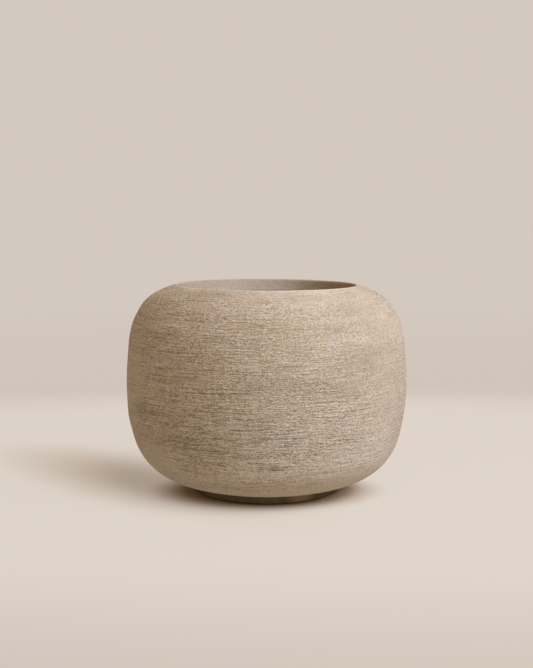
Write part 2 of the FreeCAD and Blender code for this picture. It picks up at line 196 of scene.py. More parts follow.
class PlanterVesselSettings(bpy.types.PropertyGroup):
    """The vessel's section and the relief combed into its wall."""

    body_diameter: length("Body Diameter", "Width at the belly", VESSEL_HIGH.x - VESSEL_LOW.x)
    belly_height: length("Belly Height", "Height of the widest place above the floor", 178 * MM)
    mouth_diameter: length("Mouth Diameter", "Width of the mouth", 292 * MM)
    mouth_height: length("Mouth Height", "Height at which the top and the throat would meet", 339.4 * MM)
    mouth_slope: angle("Mouth Slope", "Fall of the top towards the outside at the mouth", 11.7)
    underside_slope: angle("Underside Slope", "Rise of the underside at the foot", 9.5)
    upper_side_turn: angle("Upper Side Turn", "Turn of the wall just above the belly", 12.4)
    top_turn: angle("Top Turn", "Turn of the wall next to the mouth", 16.8)
    top_to_shoulder: share("Top to Shoulder", "Top radius over shoulder radius", 1.7)
    lower_side_turn: angle("Lower Side Turn", "Turn of the wall just below the belly", 14.4)
    underside_turn: angle("Underside Turn", "Turn of the wall next to the foot", 10.4)
    underside_to_haunch: share("Underside to Haunch", "Underside radius over haunch radius", 2.07)
    wall: length("Wall", "Thickness of the wall", 22 * MM)
    floor_thickness: length("Floor Thickness", "Thickness of the floor at the middle", 21 * MM)
    floor_fall: angle("Floor Fall", "Fall of the floor towards the middle", 2)
    mouth_edge: length("Mouth Edge", "Radius of the mouth's edge", 1.6 * MM)
    throat_edge: length("Throat Edge", "Radius where the throat meets the inside", 4 * MM)
    rebate_gap: length("Rebate Gap", "Space between the foot and its rebate", 0.3 * MM)
    drain_diameter: length("Drain Diameter", "Width of the drain hole", 25 * MM)
    drain_edge: length("Drain Edge", "Chamfer under the drain hole", 1.5 * MM)
    seat_gap: length("Seat Gap", "Space round the plug's flange", 1 * MM)
    seat_depth: length("Seat Depth", "Depth of the flange's recess in the floor", 2.5 * MM)
    rim_dip: length("Rim Dip", "How much lower the mouth stands on the right than on the left", 1.2 * MM)
    relief_depth: length("Relief Depth", "Depth of the deepest combed grooves", 1.2 * MM)
    ridge_height: length("Ridge Height", "How far the ridges stand over the relief's middle", 0.6 * MM)
    columns: number("Columns", "Faces round the vessel", 224)
    row_spacing: length("Row Spacing", "Height of the faces on the combed wall", 1.34 * MM)
    strokes: number("Strokes", "Number of combed strokes", 6500)
    long_strokes: number("Long Strokes", "Number of combed strokes that run on further", 80)


class PlanterStoneSettings(bpy.types.PropertyGroup):
    """The cast stone's colours."""

    body: colour("Stone", "Main colour of the stone", (0.471, 0.400, 0.298))
    rosy: colour("Rosy Patches", "Warmer clouds in the stone", (0.494, 0.387, 0.305))
    olive: colour("Olive Patches", "Greyer clouds in the stone", (0.430, 0.353, 0.258))
    amber: colour("Amber Flecks", "Yellower flecks in the stone", (0.511, 0.389, 0.231))
    # Smudge also colours the painted shade, and bloom the painted light, on the wall and inside it
    smudge_and_shade: colour("Smudge", "Colour of the brown smudges", (0.33, 0.25, 0.165))
    bloom: colour("Bloom", "Colour of the lime bloom", (0.69, 0.60, 0.50))
    # Groove and ridge colours are partly dust and wear and partly painted shade and painted highlight
    groove: colour("Groove", "Colour down in the combed grooves", (0.262, 0.196, 0.118))
    ridge: colour("Ridge", "Colour of rubbed ridges", (0.74, 0.62, 0.53))
    # Painted shade: the foot is coloured much darker than the vessel for the shade under the belly
    foot: colour("Foot", "Colour of the foot's stone", (0.185, 0.147, 0.100))
    mortar: colour("Mortar", "Colour of the mortar bed", (0.42, 0.40, 0.37))


class PlanterFootSettings(bpy.types.PropertyGroup):
    """The foot ring and the mortar over it."""

    width: length("Width", "From the foot's outside to its inside", 26 * MM)
    edge: length("Edge", "Radius of the foot's edges", 1.3 * MM)
    relief: length("Relief", "Depth of the hollows left by the casting", 0.35 * MM)
    pad_gap: length("Pad Gap", "Space round a pad in its recess", 0.3 * MM)
    mortar_edge: length("Mortar Edge", "Radius of the squeezed mortar's edge", 0.5 * MM)
    mortar_wave: length("Mortar Wave", "How far the mortar's edge wanders", 1.2 * MM)
    columns: number("Columns", "Faces round the foot", 192)
    recess_columns: number("Recess Columns", "Faces round the recess over each pad", 48)
    row_spacing: length("Row Spacing", "Height of the faces on the foot", 2 * MM)


class PlanterRubberSettings(bpy.types.PropertyGroup):
    """The drain plug and the floor pads."""

    plug: colour("Plug Rubber", "Colour of the drain plug", (0.045, 0.042, 0.038))
    pad: colour("Pad Rubber", "Colour of the floor pads", (0.03, 0.029, 0.028))
    flange_thickness: length("Flange Thickness", "Thickness of the plug's flange", 4 * MM)
    stem_length: length("Stem Length", "How far the stem reaches down under the flange", 16 * MM)
    stem_taper: angle("Stem Taper", "Slope of the plug's stem", 3)
    stem_gap: length("Stem Gap", "Space between the stem and the hole", 0.3 * MM)
    tab_width: length("Tab Width", "Width of the pull tab", 18 * MM)
    tab_thickness: length("Tab Thickness", "Thickness of the pull tab", 5 * MM)
    tab_root: length("Tab Root", "Radius where the tab's sides meet the flange", 1.5 * MM)
    edge: length("Edge", "Radius of the plug's edges", 1 * MM)
    pad_edge: length("Pad Edge", "Radius of the pads' edges", 0.5 * MM)
    columns: number("Columns", "Faces round the plug and each pad", 96)


class PlanterStageSettings(bpy.types.PropertyGroup):
    """The studio: its floor, lights and camera."""

    floor: colour("Floor", "Colour of the floor", (0.685, 0.552, 0.40))
    floor_glow: colour("Floor Glow", "Even brightness of the floor further off", (0.734, 0.669, 0.604))
    far_floor: colour("Far Floor", "Colour of the floor behind the bright part", (0.627, 0.560, 0.499))
    glow_share: share("Glow Share", "How much of the floor's look is that even brightness", 0.93)
    shadow_share: share("Shadow Share", "How much of that even brightness the shadow takes away", 0.60)
    floor_radius: length("Floor Radius", "How far the floor reaches", 12)
    backdrop: colour("Backdrop", "Plain colour behind everything", (0.650, 0.584, 0.522))
    side_light: colour("Side Light", "Colour of the soft light from the right", (0.72, 0.817, 1.0))
    side_watts: share("Side Power", "Power of the light from the right in watts", 58)
    side_azimuth: angle("Side Azimuth", "Turn of that light from the right towards the camera", 30)
    side_elevation: angle("Side Elevation", "Height of that light", 35)
    front_light: colour("Front Light", "Colour of the soft light from above the front", (0.99, 0.98, 1.0))
    front_watts: share("Front Power", "Power of the light from above the front in watts", 31)
    front_azimuth: angle("Front Azimuth", "Turn of that light from the right towards the camera", 60)
    front_elevation: angle("Front Elevation", "Height of that light", 60)
    light_size: length("Light Size", "Side of the soft lights", 1.2)
    light_distance: length("Light Distance", "How far off the soft lights stand", 2.6)
    fill: colour("Fill Light", "Colour of the light from all round", (0.362, 0.264, 0.150))
    fill_strength: share("Fill Strength", "Strength of the light from all round", 1.0)
    camera_distance: length("Camera Distance", "From the axis, in front", 1.865)
    camera_height: length("Camera Height", "Above the floor", 0.4619)
    camera_pitch: angle("Camera Pitch", "Downward tilt", 6.291)
    camera_lens: share("Camera Lens", "Focal length in millimetres", 61.43)


# Meshes


class Pen:
    """Draws a chain of edges in the XZ plane out of straights and arcs, as a section is drawn."""

    def __init__(self, bm, across, up, heading=0.0):
        self.bm = bm
        self.along = bm.verts.layers.float.new("along")
        self.first = self.last = bm.verts.new((across, 0, up))
        self.heading = heading
        self.run = 0.0

    def _mark(self, vert, step):
        """Takes a new vertex as the end of the chain and notes how far along it lies."""
        self.run += step
        vert[self.along] = self.run
        self.last = vert

    def arc(self, radius, turn, spacing):
        """Turns left, or right where the turn is negative, on an arc that runs on from the heading."""
        side = 1 if turn > 0 else -1
        normal = Vector((-math.sin(self.heading), 0, math.cos(self.heading))) * side
        centre = self.last.co + normal * radius
        steps = max(1, round(radius * abs(turn) / spacing))
        for _ in range(steps):
            made = bmesh.ops.spin(
                self.bm, geom=[self.last], cent=centre, axis=(0, -1, 0), angle=turn / steps, steps=1
            )
            vert = next(item for item in made["geom_last"] if isinstance(item, bmesh.types.BMVert))
            self._mark(vert, radius * abs(turn) / steps)
        self.heading += turn

    def line(self, distance, spacing):
        """Goes straight on along the heading."""
        way = Vector((math.cos(self.heading), 0, math.sin(self.heading)))
        self.line_to(self.last.co + way * distance, spacing)

    def line_to(self, place, spacing):
        """Goes straight to a place and heads on the same way."""
        way = Vector(place) - self.last.co
        steps = max(1, round(way.length / spacing))
        for _ in range(steps):
            made = bmesh.ops.extrude_vert_indiv(self.bm, verts=[self.last])
            bmesh.ops.translate(self.bm, verts=made["verts"], vec=way / steps)
            self._mark(made["verts"][0], way.length / steps)
        self.heading = math.atan2(way.z, way.x)

    def close(self, spacing):
        """Goes straight back to where the chain began."""
        way = self.first.co - self.last.co
        steps = max(1, round(way.length / spacing))
        if steps > 1:
            self.line_to(self.last.co + way * (steps - 1) / steps, spacing)
        self.bm.edges.new((self.last, self.first))


def turn_round(bm, columns, parts=8, weld=0.001 * MM):
    """Spins a section through one part of the turn, repeats that part all round and welds the parts."""
    section = bm.verts[:] + bm.edges[:]
    part = math.tau / parts
    spin = dict(cent=(0, 0, 0), axis=(0, 0, 1))
    bmesh.ops.spin(bm, geom=section, angle=part, steps=columns // parts, **spin)
    whole = bm.verts[:] + bm.edges[:] + bm.faces[:]
    bmesh.ops.spin(bm, geom=whole, angle=math.tau - part, steps=parts - 1, use_duplicate=True, **spin)
    bmesh.ops.remove_doubles(bm, verts=bm.verts, dist=weld)
    bmesh.ops.recalc_face_normals(bm, faces=bm.faces)


def keep_creases(bm, limit=math.radians(32)):
    """Shades everything smooth except across edges that turn more than the limit."""
    for face in bm.faces:
        face.smooth = True
    for edge in bm.edges:
        edge.smooth = edge.calc_face_angle(0) < limit


def new_object(name, bm, material=None):
    """An object in the scene, at the origin, with the bmesh as its mesh."""
    mesh = bpy.data.meshes.new(name)
    bm.to_mesh(mesh)
    bm.free()
    if material:
        mesh.materials.append(material)
    made = bpy.data.objects.new(name, mesh)
    bpy.context.scene.collection.objects.link(made)
    return made


def add_piece(name, bm, material, body, node):
    """Makes a finished piece of the planter out of a bmesh, in place of its CAD node."""
    piece = new_object(name, bm, material)
    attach(piece, body)
    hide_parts(node)
    return piece


def combine(bm, other, operation):
    """The bmesh with another cut out of it or joined to it, as a new bmesh."""
    base, tool = new_object("base", bm), new_object("tool", other)
    change = base.modifiers.new("combine", "BOOLEAN")
    change.operation = operation
    change.solver = "EXACT"
    change.object = tool
    graph = bpy.context.evaluated_depsgraph_get()
    result = bmesh.new()
    result.from_object(base, graph)
    for spare in (base, tool):
        bpy.data.meshes.remove(spare.data)
    return result


def draw_round_box(bm, across, up, width, height, edge, spacing):
    """Draws a rectangle with round corners, from its lowest corner on the axis's side."""
    pen = Pen(bm, across + edge, up)
    for side in (width, height, width, height):
        pen.line(side - 2 * edge, spacing)
        pen.arc(edge, math.pi / 2, edge / 2)


def wear(bm, depth, scale, offset):
    """Moves the surface in by up to a depth, as noise at a scale goes."""
    bm.normal_update()
    places = np.array([vert.co for vert in bm.verts])
    amounts = np.clip(noise_on(places, scale, offset), 0, 1) * depth
    for vert, move in zip(bm.verts, [vert.normal * amount for vert, amount in zip(bm.verts, amounts)]):
        vert.co -= move


def wall_radii(reach, rise, turns, ratio):
    """The radii of three arcs, turning as given, that bring the wall in by reach and along by rise."""
    first, second, last = np.cumsum(turns)
    side = Vector((1 - math.cos(first), math.sin(first)))
    corner = Vector((math.cos(first) - math.cos(second), math.sin(second) - math.sin(first)))
    end = Vector((math.cos(second) - math.cos(last), math.sin(last) - math.sin(second)))
    rest = corner + end * ratio
    side_radius, corner_radius = Matrix((side, rest)).transposed().inverted() @ Vector((reach, rise))
    return side_radius, corner_radius, corner_radius * ratio


def draw_vessel(bm, vessel, foot):
    """Draws the vessel's whole section and returns how far along it the combed wall ends."""
    right = math.pi / 2
    low = VESSEL_LOW.z
    belly_radius, mouth_radius = vessel.body_diameter / 2, vessel.mouth_diameter / 2
    foot_radius = FOOT_HIGH.x
    shoulder_turn = right - vessel.mouth_slope - vessel.top_turn - vessel.upper_side_turn
    haunch_turn = right - vessel.underside_slope - vessel.underside_turn - vessel.lower_side_turn
    upper, shoulder, top = wall_radii(
        belly_radius - mouth_radius,
        vessel.mouth_height - vessel.belly_height,
        (vessel.upper_side_turn, shoulder_turn, vessel.top_turn),
        vessel.top_to_shoulder,
    )
    lower, haunch, underside = wall_radii(
        belly_radius - foot_radius,
        vessel.belly_height - low,
        (vessel.lower_side_turn, haunch_turn, vessel.underside_turn),
        vessel.underside_to_haunch,
    )
    fine, plain = vessel.row_spacing, 10 * MM

    # Outside, up from the foot
    pen = Pen(bm, foot_radius, low, heading=vessel.underside_slope)
    pen.arc(underside, vessel.underside_turn, fine)
    pen.arc(haunch, haunch_turn, fine)
    pen.arc(lower, vessel.lower_side_turn, fine)
    pen.arc(upper, vessel.upper_side_turn, fine)
    pen.arc(shoulder, shoulder_turn, fine)
    edge_turn = right + vessel.mouth_slope
    lead = vessel.mouth_edge * math.tan(edge_turn / 2)
    pen.arc(top, vessel.top_turn - lead / top, fine)
    outside_end = pen.run
    pen.arc(vessel.mouth_edge, 3 * right - pen.heading, vessel.mouth_edge / 2)

    # Inside, down from the mouth: the throat, then the same arcs a wall's thickness in
    top_across = mouth_radius - top * math.sin(vessel.mouth_slope)
    top_height = vessel.mouth_height - top * math.cos(vessel.mouth_slope)
    edge_reach = top - vessel.wall + vessel.throat_edge
    throat_turn = math.acos((mouth_radius + vessel.throat_edge - top_across) / edge_reach)
    pen.line(pen.last.co.z - top_height - edge_reach * math.sin(throat_turn), 3 * MM)
    pen.arc(vessel.throat_edge, throat_turn, vessel.throat_edge / 3)
    left_over = throat_turn - (right - vessel.mouth_slope - vessel.top_turn)
    pen.arc(top - vessel.wall, -left_over, plain)
    pen.arc(shoulder - vessel.wall, -shoulder_turn, plain / 2)
    pen.arc(upper - vessel.wall, -vessel.upper_side_turn, plain)
    pen.arc(lower - vessel.wall, -vessel.lower_side_turn, plain)
    floor_heading = vessel.floor_fall + math.pi
    pen.heading += math.tau
    pen.arc(haunch - vessel.wall, floor_heading - pen.heading, plain / 2)

    # The floor with the plug's seat, the drain hole, the flat underside and the foot's rebate
    recess = (PLUG_HIGH.x - PLUG_LOW.x) / 2 + vessel.seat_gap
    hole = vessel.drain_diameter / 2
    floor_height = low + vessel.floor_thickness
    seat = floor_height - vessel.seat_depth
    inner_rebate = foot_radius - foot.width - vessel.rebate_gap
    outer_rebate = foot_radius + vessel.rebate_gap
    roof = BOND_HIGH.z
    for across, up, spacing in (
        (recess, floor_height + recess * math.tan(vessel.floor_fall), plain),
        (recess, seat, plain),
        (hole, seat, plain),
        (hole, low + vessel.drain_edge, plain),
        (hole + vessel.drain_edge, low, plain),
        (inner_rebate, low, 2 * plain),
        (inner_rebate, roof, plain),
        (outer_rebate, roof, plain),
    ):
        pen.line_to((across, 0, up), spacing)
    pen.close(plain)
    return outside_end, pen.run


def middle_of(node):
    """The middle of a node's box, and half its width."""
    low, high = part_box(node)
    return (low + high) / 2, (high.x - low.x) / 2


def build_foot_ring(foot):
    """The ring with round edges, a worn skin and a recess over each pad."""
    bm = bmesh.new()
    size = FOOT_HIGH - FOOT_LOW
    inner = FOOT_HIGH.x - foot.width
    draw_round_box(bm, inner, FOOT_LOW.z, foot.width, size.z, foot.edge, foot.row_spacing)
    turn_round(bm, foot.columns)
    wear(bm, foot.relief, (60, 60, 90), 4.2)
    recesses = bmesh.new()
    for name in PAD_NODES:
        middle, radius = middle_of(name)
        radius += foot.pad_gap
        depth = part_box(name)[1].z - FOOT_LOW.z
        sides = dict(segments=foot.recess_columns, radius1=radius, radius2=radius)
        made = bmesh.ops.create_cone(recesses, cap_ends=True, depth=2 * depth, **sides)
        bmesh.ops.translate(recesses, verts=made["verts"], vec=(middle.x, middle.y, FOOT_LOW.z))
    ring = combine(bm, recesses, "DIFFERENCE")
    keep_creases(ring)
    return ring


def build_mortar(foot):
    """The thin bed of mortar, squeezed out unevenly round both sides."""
    bm = bmesh.new()
    outer, size = BOND_HIGH.x, BOND_HIGH - BOND_LOW
    inner = FOOT_HIGH.x - foot.width + (FOOT_HIGH.x - BOND_HIGH.x)
    draw_round_box(bm, inner, BOND_LOW.z, outer - inner, size.z, foot.mortar_edge, foot.row_spacing)
    turn_round(bm, foot.columns)
    places = np.array([vert.co for vert in bm.verts])
    waves = np.clip(noise_on(places * (1, 1, 0), (45, 45, 1), 7.7) + 0.4, 0, 1) * foot.mortar_wave
    for vert, wave in zip(bm.verts, waves):
        out = vert.co.xy.length
        reach = (out - (outer + inner) / 2) / (outer - inner) * 2
        vert.co.xy *= 1 - wave * reach / out
    keep_creases(bm)
    return bm


def build_plug(parts, vessel):
    """The moulded plug: a tapered stem, a flange and a pull tab in one piece."""
    edge, spacing, sharp = parts.edge, 3 * MM, math.radians(69)
    flange_radius = (PLUG_HIGH.x - PLUG_LOW.x) / 2
    flange_low = PLUG_LOW.z + parts.stem_length
    flange_high = flange_low + parts.flange_thickness
    stem_radius = vessel.drain_diameter / 2 - parts.stem_gap
    tip_radius = stem_radius - parts.stem_length * math.tan(parts.stem_taper)
    bm = bmesh.new()
    pen = Pen(bm, 0, PLUG_LOW.z)
    stem_turn = math.pi / 2 - parts.stem_taper
    pen.line(tip_radius - edge * math.tan(stem_turn / 2), spacing)
    pen.arc(edge, stem_turn, edge / 3)
    pen.line_to((stem_radius, 0, flange_low), spacing)
    pen.line_to((flange_radius - edge, 0, flange_low), spacing)
    pen.heading = 0
    pen.arc(edge, math.pi / 2, edge / 3)
    pen.line(parts.flange_thickness - 2 * edge, spacing)
    pen.arc(edge, math.pi / 2, edge / 3)
    pen.line_to((0, 0, flange_high), spacing)
    turn_round(bm, parts.columns)

    # The tab, drawn on edge and thickened both ways
    tab = bmesh.new()
    half, root = parts.tab_width / 2, parts.tab_root
    pen = Pen(tab, half + root, flange_high, heading=math.pi)
    pen.arc(root, -math.pi / 2, root / 4)
    pen.line(PLUG_HIGH.z - flange_high - half - root, spacing)
    pen.arc(half, math.pi, half / 14)
    pen.line(PLUG_HIGH.z - flange_high - half - root, spacing)
    pen.arc(root, -math.pi / 2, root / 4)
    pen.line_to((-half - root, 0, flange_high - edge), spacing)
    pen.line_to((half + root, 0, flange_high - edge), spacing)
    pen.close(spacing)
    bmesh.ops.contextual_create(tab, geom=tab.edges[:])
    bmesh.ops.translate(tab, verts=tab.verts, vec=(0, -parts.tab_thickness / 2, 0))
    raised = bmesh.ops.extrude_face_region(tab, geom=tab.faces[:], use_keep_orig=True)
    moved = [item for item in raised["geom"] if isinstance(item, bmesh.types.BMVert)]
    bmesh.ops.translate(tab, verts=moved, vec=(0, parts.tab_thickness, 0))
    bmesh.ops.recalc_face_normals(tab, faces=tab.faces)
    rims = [rim for rim in tab.edges if len(rim.link_faces) == 2 and rim.calc_face_angle() > sharp]
    rims = [rim for rim in rims if abs(rim.verts[0].co.y - rim.verts[1].co.y) < edge]
    rims = [rim for rim in rims if max(vert.co.z for vert in rim.verts) > flange_high + root]
    bmesh.ops.bevel(tab, geom=rims, offset=edge, segments=3, profile=0.5, affect="EDGES", material=-1)
    plug = combine(bm, tab, "UNION")
    keep_creases(plug)
    return plug


def build_pad(name, parts):
    """A rubber disc with round edges."""
    middle, radius = middle_of(name)
    low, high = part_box(name)
    edge, spacing = parts.pad_edge, 2 * MM
    bm = bmesh.new()
    pen = Pen(bm, 0, low.z)
    pen.line(radius - edge, spacing)
    pen.arc(edge, math.pi / 2, edge / 2)
    pen.line(high.z - low.z - 2 * edge, spacing)
    pen.arc(edge, math.pi / 2, edge / 2)
    pen.line(radius - edge, spacing)
    turn_round(bm, parts.columns)
    bmesh.ops.translate(bm, verts=bm.verts, vec=(middle.x, middle.y, 0))
    keep_creases(bm)
    return bm


def noise_on(points, scale, offset=0.0):
    """Smooth noise between about -1 and 1 at each point, with its coordinates times the scale."""
    scaled = points * np.array(scale) + offset
    return np.array([noise.noise(Vector(point)) for point in scaled])


class CombedWall:
    """The outside of the vessel as a sheet of rows and columns that strokes are combed into."""

    def __init__(self, along, turn, pattern, columns):
        order = np.lexsort((turn, np.round(along, 7)))
        self.order = order
        self.shape = (len(order) // columns, columns)
        self.along = along[order].reshape(self.shape)
        self.turn = turn[order].reshape(self.shape)
        self.pattern = pattern[order]
        self.height = np.zeros(self.shape)

    def layer(self, scale, offset=0.0):
        """A layer of noise over the whole sheet."""
        return noise_on(self.pattern, scale, offset).reshape(self.shape)

    def stroke(self, place, column, reach, width, tilt, depth, bend):
        """Combs one stroke in: a tapered groove, or a ridge where the depth is negative."""
        rows = self.along[:, 0]
        step = rows[1] - rows[0]
        cell = math.tau * STROKE_RADIUS / self.shape[1]
        half = max(1, int(reach / 2 / cell))
        spread = int(4 * width / step) + int(abs(tilt) * reach / 2 / step) + 2
        middle = np.searchsorted(rows, place)
        low, high = max(0, middle - spread), min(self.shape[0], middle + spread)
        if high - low < 2:
            return

        # Tapered to both ends, bent a little, and with a lip raised on each side
        offsets = np.arange(-half, half + 1)
        taper = np.cos(offsets / (half + 1) * math.pi / 2) ** 0.7
        centre = place + tilt * offsets * cell + bend * np.sin(offsets / (half + 1) * 2.5)
        across = (rows[low:high, None] - centre[None, :]) / width
        window = np.ix_(np.arange(low, high), (column + offsets) % self.shape[1])
        self.height[window] -= depth * taper[None, :] * (1 - 1.6 * across**2) * np.exp(-(across**2))


def spots(turn, up, table):
    """The strength at each place on the wall of a table's soft oval spots together."""
    total = np.zeros(turn.shape)
    for degrees, share_up, wide, high, strength in table:
        across = (np.degrees(turn) - degrees + 180) % 360 - 180
        total += strength * np.exp(-((across / wide) ** 2) - ((up - share_up) / high) ** 2)
    return total


def ramp(values, start, stop):
    """How far each value is on the way from a start to a stop, held between 0 and 1."""
    return np.clip((values - start) / (stop - start), 0, 1)


def comb(wall, vessel, length_along):
    """Fills the wall with combed strokes and returns how strongly each place is combed."""
    chance = random.Random(41)
    turn, up = wall.turn, wall.along / length_along

    # Worn and trowelled places where little of the combing is left, and one side combed harder
    cloud = wall.layer((14, 14, 22), 3.1) + 0.5 * wall.layer((34, 34, 60), 8.3)
    bottom = ramp(up - 0.06 * cloud, 0.26, 0.13)
    rim = ramp(up + 0.05 * cloud, 0.94, 0.99)
    sides = 0.8 * spots(turn, up, LEFT_WEAR) + 0.5 * spots(turn, up, RIGHT_WEAR)
    worn = np.clip(0.8 * bottom + 0.5 * rim + sides + 0.42 * cloud - 0.08, 0, 1)
    harder = 1 + 0.15 * spots(turn, up, HARD_COMBING)
    calmer = 1 - 0.4 * spots(turn, up, CALM_COMBING)
    strength = (1 - 0.85 * worn) * harder * calmer

    # Short strokes, of which most are grooves and the rest are lower ridges, then long grooves
    groove_share, ridge_share = 0.78, 0.7
    for _ in range(vessel.strokes):
        place = chance.uniform(0, length_along)
        column = chance.randrange(wall.shape[1])
        reach = min(160 * MM, 8 * MM * math.exp(chance.gauss(0.25, 0.75)))
        width = chance.uniform(1.0, 1.6) * MM
        depth = 0.25 * MM * math.exp(chance.gauss(0, 0.6))
        depth *= 1 if chance.random() < groove_share else -ridge_share
        wall.stroke(place, column, reach, width, chance.gauss(0, 0.018), depth, chance.gauss(0, 0.5) * MM)
    for _ in range(vessel.long_strokes):
        place = chance.uniform(0.25, 0.92) * length_along
        column = chance.randrange(wall.shape[1])
        depth = chance.uniform(0.3, 0.6) * MM
        wall.stroke(place, column, chance.uniform(0.12, 0.34), 1.3 * MM, chance.gauss(0, 0.008), depth, MM)
    for degrees, share_up, reach, depth in LONG_STROKES:
        column = round((math.radians(degrees) + math.pi) / math.tau * wall.shape[1])
        bend = chance.gauss(0, 0.8) * MM
        tilt = chance.gauss(0, 0.01)
        wall.stroke(share_up * length_along, column, reach * MM, 1.4 * MM, tilt, depth * MM, bend)

    combed = wall.height + 0.16 * MM * wall.layer((9, 9, 150), 1.7)
    sandy = 0.06 * MM * wall.layer((170, 170, 420), 5.2)
    wall.height = combed * strength + sandy * (1 - 0.4 * worn)
    return strength


def swell(wall, length_along):
    """The hand-made wall's broad rise and fall: fuller under the shoulder and flatter over it."""
    turn, up = wall.turn, wall.along / length_along
    fuller = 1.4 * MM * np.exp(-(((up - 0.715) / 0.05) ** 2))
    flatter = 1.1 * MM * np.exp(-(((up - 0.81) / 0.03) ** 2))
    haunch = spots(turn, up, HAUNCH_SWELL)
    return fuller - flatter + haunch + 0.2 * MM * wall.layer((9, 9, 12), 6.4)


def stain(wall, length_along):
    """Brown smudges, below 0, and lime bloom and a little painted light, above it."""
    turn, up = wall.turn, wall.along / length_along
    tone_shift = 0.3 * wall.layer((12, 12, 60), 9.9) + 0.25 * wall.layer((40, 40, 160), 12.5)
    return np.clip(tone_shift + 0.6 * spots(turn, up, SMUDGES_AND_LIGHT), -1, 1)


def read(items, field, width=1, kind=float):
    """One field of every item in a mesh's list, as an array."""
    values = np.empty(len(items) * width, dtype=kind)
    items.foreach_get(field, values)
    return values.reshape(-1, width) if width > 1 else values


def dress_wall(mesh, vessel, outside_end, whole):
    """Moves the combed wall's vertices in by its relief, and notes what the material reads on them all."""
    places, normals = read(mesh.vertices, "co", 3), read(mesh.vertex_normals, "vector", 3)
    along = read(mesh.attributes["along"].data, "value")
    count, past = len(along), along - outside_end
    turn = np.arctan2(places[:, 1], places[:, 0])
    belly = vessel.body_diameter / 2
    pattern = np.stack([np.cos(turn) * belly, np.sin(turn) * belly, along], axis=1)

    outside = np.flatnonzero(past < -SAME)
    wall = CombedWall(along[outside], turn[outside], pattern[outside], vessel.columns)
    strength = comb(wall, vessel, outside_end)
    ends = ramp(wall.along, 0, FOOT_FADE) * ramp(outside_end - wall.along, 0, MOUTH_FADE)
    height = wall.height * (0.15 + 0.85 * ends)
    height = np.clip(height, -vessel.relief_depth, vessel.ridge_height) - vessel.ridge_height
    strokes = outside[wall.order]
    relief = np.zeros(count)
    relief[strokes] = (height - height.mean()).ravel() / vessel.relief_depth
    combed = np.zeros(count)
    combed[strokes] = strength.ravel()
    moves = np.zeros(count)
    shape = height + swell(wall, outside_end) * ends
    moves[strokes] = (shape * ramp(wall.along, 0, 2 * MM)).ravel()
    edge = (past >= -SAME) & (past < 4 * MM)
    moves[edge] = 0.1 * MM * noise_on(pattern[edge], (60, 60, 60), 2.0)
    # Painted highlight along the lip where the light catches it, on the front right, back right and front
    # left, and painted shade on its back left
    lip = (past > -LIP_BEFORE) & (past < LIP_PAST)
    relief[lip] = 1.6 * np.minimum(0.1 + spots(turn[lip], 0, LIP_LIGHT_AND_SHADE), 1)
    tone_shift = np.zeros(count)
    tone_shift[strokes] = stain(wall, outside_end).ravel()
    # Painted light on the inside wall behind the mouth, stronger deeper down where the wall falls into
    # shade, and painted shade on its back right
    inside = ramp(past, 0, PAINTED_INSIDE_WHOLE) * ramp(past, PAINTED_INSIDE_ENDS, PAINTED_INSIDE_FADES)
    deeper = 0.5 + 0.5 * ramp(past, PAINTED_INSIDE_DEEPENS, PAINTED_INSIDE_DEEPEST)
    tone_shift += inside * deeper * spots(turn, 0, INSIDE_LIGHT_AND_SHADE)
    places += normals * moves[:, None]

    # The mouth stands a little lower on the right, and the top's edge stays under the frame's
    lift = ramp(places[:, 2], vessel.belly_height, vessel.mouth_height)
    lean = 0.5 + 0.5 * np.clip(places[:, 0] / (vessel.mouth_diameter / 2), -1, 1)
    places[:, 2] -= vessel.rim_dip * lean * lift**3
    places[:, 2] = np.minimum(places[:, 2], VESSEL_HIGH.z)
    mesh.vertices.foreach_set("co", places.ravel())

    note(mesh, "pattern", "FLOAT_VECTOR", "vector", pattern)
    note(mesh, "relief", "FLOAT", "value", relief)
    note(mesh, "combed", "FLOAT", "value", combed)
    note(mesh, "stain", "FLOAT", "value", tone_shift)
    mesh.attributes.remove(mesh.attributes["along"])
    mesh.update()
    unroll(mesh, turn, along, outside_end, whole)


def note(mesh, name, kind, field, values):
    """Writes one value a vertex into a named attribute that materials can read."""
    attribute = mesh.attributes.new(name, kind, "POINT")
    attribute.data.foreach_set(field, np.asarray(values, dtype=np.float32).ravel())


def unroll(mesh, turn, along, outside_end, whole):
    """Lays the turned surface out flat for baking, with most of the height for the combed wall."""
    share_outside, margin = 0.66, 0.002
    up = np.where(
        along <= outside_end,
        along / outside_end * share_outside,
        share_outside + (along - outside_end) / (whole - outside_end) * (1 - share_outside),
    )
    corners = read(mesh.loops, "vertex_index", kind=np.int64)
    starts = read(mesh.polygons, "loop_start", kind=np.int64)
    sizes = read(mesh.polygons, "loop_total", kind=np.int64)
    face_of = np.repeat(np.arange(len(starts)), sizes)
    across = (0.75 + turn / math.tau) % 1.0
    place = np.stack([across[corners], up[corners]], axis=1)
    for axis in (0, 1):
        highest = np.maximum.reduceat(place[:, axis], starts)[face_of]
        wraps = highest - place[:, axis] > 0.5
        place[wraps, axis] += 1.0
    place = place * (1 - 2 * margin) + margin
    layer = mesh.uv_layers.new(name="OFBake")
    layer.data.foreach_set("uv", np.clip(place, 0, 1).ravel())


# Materials


